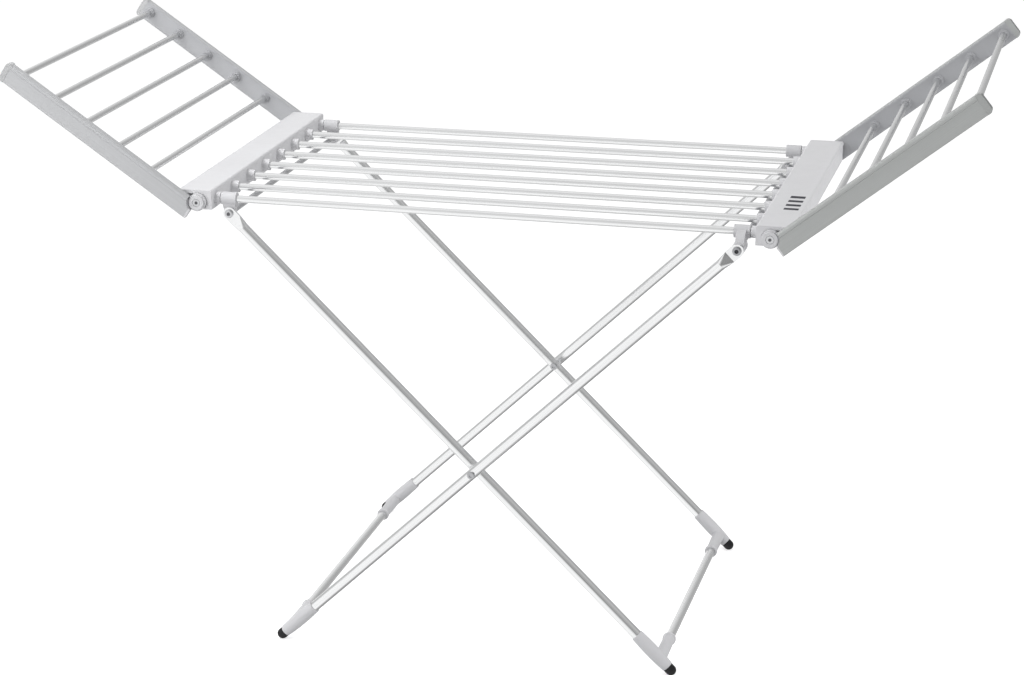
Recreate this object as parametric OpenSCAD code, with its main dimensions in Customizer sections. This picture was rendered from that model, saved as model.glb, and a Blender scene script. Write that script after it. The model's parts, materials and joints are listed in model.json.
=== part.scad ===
// Winged heated clothes dryer on crossed folding legs, millimetres.
// Origin on the ground under the middle. +X runs along the rack bars to the right-hand end box,
// +Y to the back, +Z up. The wings are modelled raised and the legs opened.

/* [Rack] */
// Distance between neighbouring rack bars
rack_pitch = 69.4; // [66:0.1:74]
// Outer diameter of a rack bar
rack_bar_d = 10; // [9:0.5:11]
// Wall of the bar tubes
bar_wall = 1.2; // [0.8:0.1:1.5]
// Free length of the rack bars between the end boxes
rack_clear = 756; // [740:1:800]
// Depth that a rack bar enters its end box
bar_seat = 10; // [8:0.5:11]
// Length of the round collars on the end box where the inner bars enter
collar_out = 11; // [6:0.5:14]
// Length of the collars of the two outermost bars, which carry the leg brackets
collar_end = 8; // [6:0.5:8.5]
// Radius of the collars
collar_r = 8.2; // [7:0.1:8.5]

/* [End boxes] */
// Width of an end box along the bars
box_w = 50; // [44:1:60]
// Height of an end box
box_h = 27; // [25:0.5:32]
// Height of the cover, the upper part of the box
cover_h = 5; // [4.5:0.25:5.5]
// Top of the box above the middle of the bars
box_over_bar = 14; // [14:0.5:16]
// From the middle of the outermost bar to the end wall
end_margin = 13; // [12:0.25:14]
// Thickness of the cheek that stands out of the end wall beside each wing hinge
cheek_t = 7; // [5:0.5:8]
// Wall of the end boxes
box_wall = 3; // [2.5:0.25:3.5]
// Thickness of the floor and of the top of an end box
box_skin = 2.5; // [2:0.25:3]
// Rounding of the long edges of the cover
cover_round = 3; // [1.5:0.5:3.5]

/* [Wings] */
// Angle of the raised left-hand wing above the horizontal
wing_angle_left = 34; // [20:0.5:45]
// Angle of the raised right-hand wing above the horizontal
wing_angle_right = 39; // [20:0.5:45]
// Hinge axis from the inner face of the end box
hinge_in = 20; // [18:0.5:23]
// Hinge axis below the middle of the rack bars
hinge_drop = 2.5; // [2:0.25:4]
// Hinge axis to the first wing bar
wing_first = 83.5; // [80:0.5:100]
// Distance between neighbouring wing bars
wing_pitch = 56.75; // [50:0.25:58]
// Last wing bar to the tip of the rails
wing_last = 20; // [20:1:45]
// Outer diameter of a wing bar
wing_bar_d = 9; // [8:0.5:10]
// Height of a rail
rail_h = 30; // [28:0.5:32]
// Top edge of a rail above the hinge axis, square to the rail
rail_up = 2; // [1:0.5:4]
// Thickness of a rail at the bead along its top
rail_t = 12; // [11.5:0.5:14]
// Height of that bead
bead_h = 7; // [6:0.5:9]
// Step of the outer face under the bead
bead_step = 0.8; // [0.4:0.1:1.2]
// Wall of the hollow rails
rail_wall = 1.5; // [1.2:0.1:2]
// Radius of the raised face of the hinge knuckle
knuckle_r = 10.5; // [9:0.25:11]
// Height of that face above the end wall
knuckle_len = 15; // [14.5:0.5:17]
// Radius of the knuckle behind the face, and of the groove left round it
groove_r = 12.5; // [12:0.25:12.5]
// From the hinge axis to the square end of a rail
rail_start = 1.5; // [0.5:0.5:4]
// Length of the bush on a wing bar at each rail
bush_len = 5.4; // [3:0.2:7]
// Radius of that bush
bush_r = 8; // [7:0.25:9]
// Length of the cap on the tip of a rail
cap_len = 8; // [7:0.5:10]
// Rounding of the two corners of that cap
cap_round = 5.5; // [3:0.5:6.5]

/* [Legs] */
// Leg pivots, left and right, from the middle
pivot_x = 356; // [340:1:356]
// Leg length from the top pivot to the crossing rivet
leg_upper = 495; // [480:1:520]
// Leg length from the crossing rivet to the ground
leg_lower = 402; // [390:1:430]
// Outer diameter of the leg and cross tubes
leg_d = 15; // [13:0.5:16]
// Wall of the leg tubes
leg_wall = 1.2; // [1:0.1:2]
// Thickness of the flattened tube ends
flat_t = 3.2; // [2.4:0.2:4]
// Width of the flattened tube ends
flat_w = 18; // [16:0.5:18]
// Length of the flat from the pivot
flat_len = 13; // [11:0.5:20]
// Length over which the round tube runs into the flat
press_len = 15; // [12:1:26]
// Sideways distance from the inner to the outer leg frame
frame_step = 21.5; // [19:0.5:24]
// Leg pivots below the middle of the rack bars
pivot_drop = 19.5; // [18.5:0.5:22]

/* [Leg brackets] */
// Outer radius of the bracket sleeves on the outermost bars
sleeve_r = 9; // [8:0.25:9.5]
// Length of a sleeve
sleeve_len = 22; // [18:1:26]
// Part of that length on the side of the end box
sleeve_side = 13; // [11:0.5:13.5]
// Thickness of the lug, from the middle of the bar outwards
lug_t = 6; // [5.5:0.5:9]
// Radius of the rod at the top pivots
rod_r = 4; // [3:0.25:5]
// Radius of the rod heads
rod_head_r = 6; // [5.5:0.25:8]

/* [Feet] */
// Radius of the corner fitting at its mouth
fitting_mouth_r = 9.6; // [9.2:0.1:10.5]
// Radius of the corner fitting beside the cross tube
fitting_r = 11; // [10.5:0.25:12]
// Length from the ground to the mouth of the fitting, along the leg
fitting_len = 66; // [58:1:80]
// Length from the ground to the cross tube, along the leg
cross_up = 33; // [31:0.5:38]
// Length of the branch on the cross tube, from the middle of the leg
branch_len = 30; // [26:1:36]
// Length of the rubber tip, along the leg
tip_len = 13; // [12:0.5:15]
// Radius of the rubber tip
tip_r = 9.2; // [8.5:0.1:10]

/* [Electrics] */
// Radius of the heating cord inside the bars
cord_r = 2; // [1.5:0.1:2.2]
// Rocker switch behind the front end of the right-hand box
switch_in = 109; // [100:1:120]
// Length of the rocker
rocker_l = 18; // [16:0.5:20]
// Width of the rocker
rocker_w = 12; // [10:0.5:13]
// Swing of the rocker between off and on
rocker_swing = 12; // [8:1:14]
// Mains cord inlet behind the front end of the right-hand box
inlet_in = 44; // [40:1:60]
// Radius of the hole for the cord
inlet_r = 3.6; // [3:0.1:4]

/* [Fits] */
// Radial clearance of a shaft or tube in its hole
fit = 0.05; // [0.04:0.01:0.08]
// Clearance beside faces that turn past each other
side_gap = 0.3; // [0.2:0.05:0.4]

/* [Hidden] */
RACK_BARS = 8;
WING_BARS = 5;
SIDES = [["left", -1], ["right", 1]];
ENDS = [["front", -1], ["back", 1]];

PLASTIC = [0.86, 0.87, 0.88];
PLASTIC_DARK = [0.72, 0.73, 0.75];
ALU = [0.8, 0.81, 0.83];
STEEL = [0.7, 0.71, 0.73];
RUBBER = [0.07, 0.07, 0.08];

// Legs: an even cross, so both top pivots lie level and the sliding pair runs along the bars
leg_angle = acos(pivot_x / leg_upper);
leg_len = leg_upper + leg_lower;
pivot_z = leg_len * sin(leg_angle);
cross_z = leg_lower * sin(leg_angle);

bar_z = pivot_z + pivot_drop;
bar_y = rack_pitch * (RACK_BARS - 1) / 2;

// End boxes
box_x = rack_clear / 2;
box_y = bar_y + end_margin;
box_top = bar_z + box_over_bar;
box_low = box_top - box_h;
split_z = box_top - cover_h;
floor_z = box_low + box_skin;
cheek_y = box_y + cheek_t;

// Screws that hold the covers, put in from below
screw_x = box_x + box_w * 0.54;
screw_rows = [-2.5, -0.5, 0.5, 2.5];
screw_r = 1.7;
screw_head_r = 3.4;
screw_head_t = 2.2;
screw_sink = 0.4;
screw_boss_r = 4.5;
screw_tip_z = box_top - 2.5;

// Wing hinges
hinge_x = box_x + hinge_in;
hinge_z = bar_z - hinge_drop;
knuckle_gap = 0.4;
pin_r = 4;
pin_head_r = 5.2;
pin_head_t = 2.2;
pin_boss_r = 7;
pin_boss = 5;
neck_t = 5;
socket_r = 2.4;
socket_deep = 1.3;

// Wing rails
rail_y = cheek_y + knuckle_gap;
rail_web = rail_t - bead_step;
rail_low = rail_up - rail_h;
rail_mid = rail_up - rail_h / 2;
rail_round = 2;
bead_round = 4;
crown = 3;
wing_len = wing_first + wing_pitch * (WING_BARS - 1) + wing_last;
bar_in_rail = 2.6;
plug_plate = 2.5;
plug_tongue = 30;
tongue_len = 6;
tongue_gap = 0.2;

// Leg pivots, tube ends, rivets and feet
flat_mid_in = bar_y + lug_t + side_gap + flat_t / 2;
flat_mid_out = flat_mid_in + frame_step;
lug_r = 9;
lug_w = 16;
rod_head_t = 3;
tube_end = 24;
rivet_r = 3;
rivet_head_r = 5.5;
rivet_head_t = 2.5;
spacer_r = 6;
stem_r = 6;
stem_len = 9;
ring_w = 5;
ring_up = 1;

// Heating cord links, terminal block, cut-out, switch and inlet
link_t = 3;
link_x = box_x + bar_seat + link_t / 2;
terminal_w = 20;
terminal_l = 36;
terminal_h = 11;
terminal_step = 12;
terminal_x = box_x + box_w - box_wall - 3 - terminal_w;
terminal_y = -bar_y + 14;
cutout_r = 7;
cutout_h = 7;
cutout_plate = [24, 16, 2];
switch_x = box_x + box_w / 2;
switch_y = -cheek_y + switch_in;
switch_wall = 1;
switch_lip = 1.5;
rocker_up = 3;
rocker_room = [0.6, 1.6];
rocker_pin_r = 1.5;
inlet_y = -cheek_y + inlet_in;
inlet_z = (floor_z + split_z) / 2;
inlet_wall = 2.4;

// Longer than any piece that a block or a bore is cut through
reach = leg_len;

function rack_bar_y(i) = -bar_y + rack_pitch * (i - 1);
function wing_bar_u(i) = wing_first + wing_pitch * (i - 1);
function arc(cx, cy, r, a0, a1, n = 5) =
    [for (i = [0:n]) let (a = a0 + (a1 - a0) * i / n) [cx + r * cos(a), cy + r * sin(a)]];

// Turns children built along +Z so that they run along +X or +Y
module along_x() { rotate([0, 90, 0]) children(); }
module along_y() { rotate([-90, 0, 0]) children(); }
// Lays an outline drawn as (Y, Z) along +X, and one drawn as (X, Z) along +Y
module lay_x(len) { rotate([90, 0, 90]) linear_extrude(len) children(); }
module lay_y(len) { translate([0, len, 0]) rotate([90, 0, 0]) linear_extrude(len) children(); }
// Copies to the left or right side, and to the front or back end
module on_side(s) { mirror([s < 0 ? 1 : 0, 0, 0]) children(); }
module on_end(e) { mirror([0, e < 0 ? 1 : 0, 0]) children(); }

// A round tube along +Z
module tube(d, wall, len) {
    difference() {
        cylinder(d = d, h = len, $fn = 32);
        translate([0, 0, -1]) cylinder(d = d - 2 * wall, h = len + 2, $fn = 32);
    }
}

// END BOXES, drawn on the right-hand side

module box_cavity(z0, z1) {
    translate([box_x + box_wall, -box_y + box_wall, z0])
        cube([box_w - 2 * box_wall, 2 * (box_y - box_wall), z1 - z0]);
}

module screw_places() {
    for (k = screw_rows) translate([screw_x, k * rack_pitch, 0]) children();
}

// Round recess for the knuckle in the cheek and under the end of the cover
module hinge_recess() {
    translate([hinge_x, box_y, hinge_z])
        along_y() cylinder(r = groove_r + knuckle_gap, h = cheek_t + 1, $fn = 64);
}

// Cheek that stands beside the wing hinge
module hinge_cheek() {
    difference() {
        translate([box_x, box_y - 0.5, box_low]) cube([hinge_in, cheek_t + 0.5, split_z - box_low]);
        hinge_recess();
    }
}

// Length of the collar round bar i: short on the outermost bars
function collar_len(i) = i == 1 || i == RACK_BARS ? collar_end : collar_out;

module box_base() {
    color(PLASTIC) difference() {
        union() {
            difference() {
                translate([box_x, -box_y, box_low]) cube([box_w, 2 * box_y, split_z - box_low]);
                box_cavity(floor_z, split_z + 1);
            }
            for (i = [1:RACK_BARS]) translate([box_x - collar_len(i), rack_bar_y(i), bar_z])
                along_x() cylinder(r = collar_r, h = collar_len(i) + bar_seat + 1, $fn = 32);
            for (e = [-1, 1]) on_end(e) {
                hinge_cheek();
                translate([hinge_x, box_y - box_wall - pin_boss, hinge_z])
                    along_y() cylinder(r = pin_boss_r, h = pin_boss + 1, $fn = 32);
            }
            screw_places() translate([0, 0, floor_z - 1])
                cylinder(r = screw_boss_r, h = split_z - floor_z + 1, $fn = 32);
        }
        for (i = [1:RACK_BARS]) translate([box_x - collar_out - 1, rack_bar_y(i), bar_z])
            along_x() cylinder(d = rack_bar_d + 2 * fit, h = collar_out + bar_seat + 3, $fn = 32);
        for (e = [-1, 1]) on_end(e) translate([hinge_x, box_y - box_wall - pin_boss - 1, hinge_z])
            along_y() cylinder(r = pin_r + fit, h = pin_boss + box_wall + 2, $fn = 32);
        screw_places() {
            translate([0, 0, box_low - 1])
                cylinder(r = screw_head_r + screw_sink, h = 1 + screw_sink + screw_head_t, $fn = 32);
            translate([0, 0, box_low]) cylinder(r = screw_r + fit, h = box_h, $fn = 32);
        }
    }
}

// The right-hand base also has the switch window and the hole for the cord inlet
module box_base_right() {
    difference() {
        box_base();
        switch_window();
        translate([box_x + box_w - box_wall - 1, inlet_y, inlet_z])
            along_x() cylinder(r = inlet_r + inlet_wall + fit, h = box_wall + 2, $fn = 32);
    }
}

module box_cover() {
    top = concat([[box_x, split_z], [box_x + box_w, split_z]],
        arc(box_x + box_w - cover_round, box_top - cover_round, cover_round, 0, 90),
        arc(box_x + cover_round, box_top - cover_round, cover_round, 90, 180));
    color(PLASTIC) difference() {
        union() {
            difference() {
                translate([0, -cheek_y, 0]) lay_y(2 * cheek_y) polygon(top);
                box_cavity(split_z - 1, box_top - box_skin);
            }
            screw_places() translate([0, 0, split_z])
                cylinder(r = screw_boss_r - 0.5, h = cover_h - 1, $fn = 32);
        }
        screw_places() translate([0, 0, split_z - 1])
            cylinder(r = screw_r + fit, h = screw_tip_z - split_z + 1, $fn = 32);
        for (e = [-1, 1]) on_end(e) hinge_recess();
    }
}

module cover_screws() {
    head_z = box_low + screw_sink;
    color(STEEL) for (s = [-1, 1]) on_side(s) screw_places() {
        translate([0, 0, head_z]) cylinder(r = screw_head_r, h = screw_head_t, $fn = 24);
        translate([0, 0, head_z + screw_head_t / 2])
            cylinder(r = screw_r, h = screw_tip_z - head_z - screw_head_t / 2, $fn = 24);
    }
}

// HINGE OF THE WINGS

module hinge_screws() {
    start = box_wall + pin_boss - 0.5;
    head = start + knuckle_len - pin_head_t;
    head_top = head + pin_head_t - 0.3;
    color(STEEL) for (s = [-1, 1], e = [-1, 1]) on_side(s) on_end(e)
        translate([hinge_x, box_y - start, hinge_z]) along_y() difference() {
            union() {
                cylinder(r = pin_r, h = head + 0.5, $fn = 32);
                translate([0, 0, head]) cylinder(r = pin_head_r, h = head_top - head, $fn = 32);
            }
            translate([0, 0, head_top - socket_deep]) cylinder(r = socket_r, h = pin_head_t, $fn = 6);
        }
}

// WINGS, drawn on the right-hand side: +X along the rail, +Z square to it, origin on the hinge axis

module wing_place(s) {
    angle = s < 0 ? wing_angle_left : wing_angle_right;
    on_side(s) translate([hinge_x, 0, hinge_z]) rotate([0, -angle, 0]) children();
}

// Takes the round groove at the knuckle out of the end of a rail
module knuckle_notch() {
    translate([0, rail_y - 1, 0]) along_y() cylinder(r = groove_r + 0.5, h = rail_t + 2, $fn = 64);
}

function rail_outline() = concat(
    arc(rail_round, rail_low + rail_round, rail_round, 180, 270, 3),
    arc(rail_web - rail_round, rail_low + rail_round, rail_round, 270, 360, 3),
    [[rail_web, rail_up - bead_h], [rail_t, rail_up - bead_h + bead_step]],
    arc(rail_t - bead_round, rail_up - bead_round, bead_round, 0, 90),
    arc(bead_round, rail_up - bead_round, bead_round, 90, 180));

module rail_solid(u0, u1) {
    translate([u0, rail_y, 0]) lay_x(u1 - u0) polygon(rail_outline());
}

module rail_hollow(u0, u1, shrink = 0) {
    w = rail_wall + shrink;
    translate([u0, rail_y + w, rail_low + w]) cube([u1 - u0, rail_web - 2 * w, rail_h - crown - 2 * w]);
}

module rail() {
    color(ALU) difference() {
        rail_solid(rail_start + plug_plate, wing_len - cap_len);
        rail_hollow(0, wing_len + 1);
        knuckle_notch();
        for (i = [1:WING_BARS]) translate([wing_bar_u(i), rail_y - 1, rail_mid])
            along_y() cylinder(d = wing_bar_d + 2 * fit, h = rail_wall + 2, $fn = 32);
    }
}

// Moulded end of a rail: a plate on its mouth, a tongue inside it and the hinge knuckle. A neck as
// thick as half the rail joins them behind the groove.
module hinge_plug() {
    neck_end = groove_r + plug_plate + 4;
    face_y = box_y + knuckle_len;
    color(PLASTIC) difference() {
        union() {
            difference() {
                union() {
                    rail_solid(rail_start, rail_start + plug_plate);
                    rail_hollow(rail_start + 1, plug_tongue, tongue_gap);
                }
                knuckle_notch();
            }
            translate([0, box_y + side_gap, 0])
                along_y() cylinder(r = groove_r, h = rail_y + neck_t - box_y - side_gap, $fn = 64);
            translate([0, rail_y, 0]) along_y() cylinder(r = knuckle_r, h = face_y - rail_y, $fn = 48);
            intersection() {
                rail_hollow(rail_start + 1, neck_end, tongue_gap);
                translate([0, rail_y, -reach]) cube([neck_end, neck_t, 2 * reach]);
            }
        }
        translate([0, box_y, 0]) along_y() cylinder(r = pin_r + fit, h = knuckle_len + 1, $fn = 32);
        translate([0, face_y - pin_head_t - side_gap / 2, 0])
            along_y() cylinder(r = pin_head_r + 0.4, h = 5, $fn = 32);
    }
}

module wing_plugs(s) { wing_place(s) for (e = [-1, 1]) on_end(e) hinge_plug(); }

// Cap on the tip: a plate with rounded corners as thick as the rail, with a tongue inside it
module wing_cap() {
    tip_x = cap_len - cap_round;
    side = concat([[0, rail_up], [0, rail_low]], arc(tip_x, rail_low + cap_round, cap_round, 270, 360, 8),
        arc(tip_x, rail_up - cap_round, cap_round, 0, 90, 8));
    color(PLASTIC_DARK) union() {
        translate([wing_len - cap_len, rail_y, 0]) lay_y(rail_t - bead_step / 2) polygon(side);
        rail_hollow(wing_len - cap_len - tongue_len, wing_len - cap_len + 1, tongue_gap);
    }
}

module wing_caps(s) { wing_place(s) for (e = [-1, 1]) on_end(e) wing_cap(); }

module wing_bar(s, i) {
    half = rail_y + rail_wall + bar_in_rail;
    color(ALU) wing_place(s) translate([wing_bar_u(i), -half, rail_mid])
        along_y() tube(wing_bar_d, bar_wall, 2 * half);
}

module wing_bushes(s) {
    color(PLASTIC_DARK) wing_place(s) for (i = [1:WING_BARS], e = [-1, 1])
        on_end(e) translate([wing_bar_u(i), rail_y, rail_mid]) rotate([90, 0, 0]) difference() {
            union() {
                cylinder(r = bush_r, h = bush_len / 2, $fn = 24);
                cylinder(r = bush_r - 1.6, h = bush_len, $fn = 24);
            }
            translate([0, 0, -1]) cylinder(d = wing_bar_d + 2 * fit, h = bush_len + 2, $fn = 24);
        }
}

// Heating cord: one straight run in each bar, joined end to end inside the hollow rails
module wing_heater(s) {
    drop = wing_bar_d / 2 - bar_wall - cord_r - side_gap;
    end_y = rail_y + rail_wall + bar_in_rail + 1;
    color(RUBBER) wing_place(s) translate([0, 0, rail_mid - drop]) {
        for (i = [1:WING_BARS]) translate([wing_bar_u(i), -end_y, 0])
            along_y() cylinder(r = cord_r, h = 2 * end_y, $fn = 16);
        for (i = [1:WING_BARS - 1]) on_end(i % 2 == 0 ? 1 : -1)
            translate([wing_bar_u(i) - link_t / 2, end_y - 0.6, -link_t / 2])
                cube([wing_pitch + link_t, link_t, link_t]);
    }
}

// RACK

module rack_bar(i) {
    half = box_x + bar_seat;
    color(ALU) translate([-half, rack_bar_y(i), bar_z]) along_x() tube(rack_bar_d, bar_wall, 2 * half);
}

// Heating cord of the rack: a run in each bar, joined in turn inside the left-hand and right-hand
// boxes, with two leads along the right-hand box to the terminal block
module heater_rack() {
    z = bar_z - (rack_bar_d / 2 - bar_wall - cord_r - side_gap);
    far = box_x + box_w - box_wall - 8;
    zl = z - link_t / 2;
    color(RUBBER) {
        for (i = [1:RACK_BARS]) translate([-link_x - link_t / 2, rack_bar_y(i), z])
            along_x() cylinder(r = cord_r, h = 2 * link_x + link_t, $fn = 16);
        for (i = [1:RACK_BARS - 1]) on_side(i % 2 == 1 ? -1 : 1)
            translate([link_x, rack_bar_y(i) - link_t / 2, zl]) cube([link_t, rack_pitch + link_t, link_t]);
        translate([link_x, bar_y - link_t / 2 - 1, zl]) cube([far - link_x, link_t, link_t]);
        translate([far - link_t, terminal_y + terminal_l, zl])
            cube([link_t, bar_y - terminal_y - terminal_l, link_t]);
        translate([link_x, -bar_y - link_t / 2 + 1, zl]) cube([terminal_x + 6 - link_x, link_t, link_t]);
        translate([terminal_x + 3, -bar_y, zl]) cube([link_t, terminal_y + bar_y, link_t]);
    }
}

module terminal_block() {
    color(PLASTIC) difference() {
        translate([terminal_x, terminal_y, floor_z]) cube([terminal_w, terminal_l, terminal_h]);
        for (k = [0.5:1:2.5])
            translate([terminal_x + terminal_w / 2, terminal_y + k * terminal_step, floor_z + 4])
                cylinder(r = 2, h = terminal_h, $fn = 24);
    }
}

// Thermal cut-out: a round can in a flat holder on the floor of the right-hand box
module thermal_cutout() {
    color(STEEL) translate([switch_x, 0.5 * rack_pitch - 22, floor_z]) {
        translate([-cutout_plate.x / 2, -cutout_plate.y / 2, 0]) cube(cutout_plate);
        cylinder(r = cutout_r, h = cutout_h, $fn = 32);
    }
}

module cord_inlet() {
    color(PLASTIC_DARK) translate([box_x + box_w - box_wall - 2, inlet_y, inlet_z]) along_x() difference() {
        union() {
            cylinder(r = inlet_r + inlet_wall, h = box_wall + 3, $fn = 32);
            translate([0, 0, box_wall + 2]) cylinder(r = inlet_r + 2 * inlet_wall, h = 2, $fn = 32);
            translate([0, 0, box_wall + 3]) cylinder(r = inlet_r + inlet_wall + 0.4, h = 8, $fn = 32);
        }
        translate([0, 0, -1]) cylinder(r = inlet_r, h = box_wall + 14, $fn = 32);
    }
}

// ROCKER SWITCH on the underside of the right-hand box

module switch_block(grow, z0, z1) {
    w = rocker_w + rocker_room.x + 2 * grow;
    l = rocker_l + rocker_room.y + 2 * grow;
    translate([-w / 2, -l / 2, z0]) cube([w, l, z1 - z0]);
}

module switch_window() {
    translate([switch_x, switch_y, box_low]) switch_block(switch_wall + 0.1, -1, box_wall + 1);
}

module switch_body() {
    deep = rocker_up + rocker_l / 2 + rocker_room.x;
    color(RUBBER) translate([switch_x, switch_y, box_low]) difference() {
        union() {
            switch_block(switch_wall, -1, deep + 1.2);
            switch_block(switch_wall + switch_lip, -switch_lip, 0);
        }
        switch_block(0, -switch_lip - 1, deep);
        translate([-rocker_w, 0, rocker_up])
            along_x() cylinder(r = rocker_pin_r + fit, h = 2 * rocker_w, $fn = 24);
    }
}

module switch_rocker() {
    half = rocker_l / 2;
    side = concat([[-half, -rocker_up * 1.5], [0, -rocker_up], [half, -rocker_up * 1.5]],
        arc(0, 0, half, 0, 180, 12));
    color([0.15, 0.15, 0.16]) translate([switch_x, switch_y, box_low + rocker_up])
        rotate([-rocker_swing / 2, 0, 0]) {
            translate([-rocker_w / 2, 0, 0]) lay_x(rocker_w) polygon(side);
            translate([-rocker_w / 2 - 1, 0, 0])
                along_x() cylinder(r = rocker_pin_r, h = rocker_w + 2, $fn = 24);
        }
}

// LEG BRACKETS on the outermost bars, drawn at the right-hand back

module sleeve(clearance) {
    difference() {
        children();
        translate([0, bar_y, bar_z]) along_x() cylinder(d = rack_bar_d + 2 * clearance, h = reach, $fn = 32);
    }
}

module sleeve_outside() {
    translate([pivot_x + sleeve_side - sleeve_len, bar_y, bar_z])
        along_x() cylinder(r = sleeve_r, h = sleeve_len, $fn = 32);
}

// Fixed pair on the left: a flat lug hangs from the sleeve and carries the inner leg
module bracket_fixed() {
    half = lug_w / 2;
    lug = concat([[pivot_x - half, bar_z], [pivot_x - half, pivot_z]],
        arc(pivot_x, pivot_z, lug_r, 207, 333, 8), [[pivot_x + half, pivot_z], [pivot_x + half + 4, bar_z]]);
    color(PLASTIC_DARK) on_side(-1) for (e = [-1, 1]) on_end(e) difference() {
        sleeve(fit) union() {
            sleeve_outside();
            translate([0, bar_y - 1, 0]) lay_y(lug_t + 1) polygon(lug);
        }
        translate([pivot_x, bar_y - 5, pivot_z]) along_y() cylinder(r = rod_r + fit, h = 30, $fn = 32);
    }
}

// Sliding pair on the right: a curved arm runs out and down to the boss that carries the outer leg
module bracket_sliding() {
    boss_end = flat_mid_out - flat_t / 2 - side_gap;
    reach = boss_end - bar_y - 1;
    rise = pivot_drop + 5;
    arm = concat([[bar_y - 4, pivot_z], [bar_y - 4, bar_z]],
        [for (i = [0:8]) let (a = 90 - 11.25 * i) [bar_y + reach * cos(a), pivot_z + rise * sin(a)]]);
    color(PLASTIC_DARK) for (e = [-1, 1]) on_end(e) difference() {
        sleeve(fit + 0.03) union() {
            sleeve_outside();
            translate([pivot_x - 4, 0, 0]) lay_x(12) polygon(arm);
            translate([pivot_x, bar_y - 4, pivot_z])
                along_y() cylinder(r = lug_r, h = boss_end - bar_y + 4, $fn = 32);
        }
        translate([pivot_x, bar_y - 8, pivot_z]) along_y() cylinder(r = rod_r + fit, h = 60, $fn = 32);
    }
}

// Rod across the rack through both pivots of one side, with a domed head at each end
module pivot_rod(s, flat_mid) {
    half = flat_mid + flat_t / 2 + side_gap;
    color(STEEL) on_side(s) translate([pivot_x, 0, pivot_z]) {
        translate([0, -half - 0.5, 0]) along_y() cylinder(r = rod_r, h = 2 * half + 1, $fn = 32);
        for (e = [-1, 1]) on_end(e) translate([0, half, 0]) along_y()
            rivet_head(rod_head_r, rod_head_t);
    }
}

// Head with a rounded rim and a round dimple
module rivet_head(r, h) {
    rotate_extrude($fn = 32)
        polygon(concat([[0, 0], [r, 0]], arc(r - h * 0.6, h * 0.4, h * 0.6, 0, 90, 3),
            [[r * 0.45, h], [r * 0.4, h * 0.5], [0, h * 0.5]]));
}

// LEGS, drawn from the top pivot along +X; the inner frame hangs from the left

module leg_place(s) {
    on_side(s) translate([-pivot_x, 0, pivot_z]) rotate([0, leg_angle, 0]) children();
}

module leg(s, mid) {
    outline = concat(arc(0, 0, flat_w / 2, 270, 90, 12), [[flat_len, flat_w / 2], [flat_len, -flat_w / 2]]);
    round_from = flat_len + press_len;
    color(ALU) leg_place(s) translate([0, mid, 0]) difference() {
        union() {
            translate([0, -flat_t / 2, 0]) lay_y(flat_t) polygon(outline);
            hull() {
                translate([flat_len - 0.5, -flat_t / 2, -flat_w / 2]) cube([0.5, flat_t, flat_w]);
                translate([round_from + 0.6, 0, 0]) along_x() cylinder(d = leg_d - 0.3, h = 1, $fn = 32);
            }
            translate([round_from, 0, 0]) along_x() cylinder(d = leg_d - leg_wall, h = 3, $fn = 32);
            translate([round_from, 0, 0]) along_x() tube(leg_d, leg_wall, leg_len - tube_end - round_from);
        }
        translate([0, -10, 0]) along_y() cylinder(r = rod_r + fit, h = 20, $fn = 32);
        translate([leg_upper, -leg_d, 0]) along_y() cylinder(r = rivet_r + fit, h = 2 * leg_d, $fn = 24);
    }
}

// Runs children along the leg upwards from the ground: +Z is up the leg
module from_ground() { translate([leg_len, 0, 0]) rotate([0, -90, 0]) children(); }

module fitting_body() {
    branch_r = leg_d / 2 + 2.2;
    difference() {
        union() {
            rotate_extrude($fn = 40) polygon([[0, tip_len], [tip_r + 0.6, tip_len], [fitting_r, tip_len + 6],
                [fitting_r, cross_up + 10], [fitting_mouth_r, fitting_len], [0, fitting_len]]);
            translate([0, 0, cross_up]) rotate([90, 0, 0]) {
                cylinder(r = branch_r, h = branch_len, $fn = 32);
                translate([0, 0, branch_len - ring_w]) cylinder(r = branch_r + ring_up, h = ring_w, $fn = 32);
            }
        }
        translate([0, 0, tube_end - 0.5]) cylinder(d = leg_d + 2 * fit, h = fitting_len, $fn = 32);
        translate([0, 0, tip_len - 1]) cylinder(r = stem_r + fit, h = stem_len + 1.5, $fn = 32);
        translate([0, -leg_d / 2 - 1, cross_up]) rotate([90, 0, 0])
            cylinder(d = leg_d + 2 * fit, h = branch_len, $fn = 32);
    }
}

module leg_fittings(s, mid) {
    color(PLASTIC_DARK) for (e = [-1, 1]) on_end(e) leg_place(s) translate([0, mid, 0])
        from_ground() fitting_body();
}

module leg_tips(s, mid) {
    color(RUBBER) difference() {
        for (e = [-1, 1]) on_end(e) leg_place(s) translate([0, mid, 0]) from_ground() {
            translate([0, 0, -leg_d]) cylinder(r = tip_r, h = leg_d + tip_len, $fn = 32);
            translate([0, 0, tip_len - 1]) cylinder(r = stem_r, h = stem_len + 1, $fn = 32);
        }
        translate([-reach, -reach, -reach]) cube([2 * reach, 2 * reach, reach]);
    }
}

module cross_tube(s, mid) {
    half = mid - leg_d / 2 - 1.5;
    color(ALU) leg_place(s) translate([leg_len - cross_up, -half, 0])
        along_y() tube(leg_d, leg_wall, 2 * half);
}

module crossing_rivets() {
    from_y = flat_mid_in - leg_d / 2 - side_gap;
    len = frame_step + leg_d + 2 * side_gap;
    color(STEEL) for (e = [-1, 1]) on_end(e) translate([0, from_y, cross_z]) along_y() {
        translate([0, 0, -0.5]) cylinder(r = rivet_r, h = len + 1, $fn = 24);
        translate([0, 0, len]) rivet_head(rivet_head_r, rivet_head_t);
        rotate([180, 0, 0]) rivet_head(rivet_head_r, rivet_head_t);
    }
}

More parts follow.
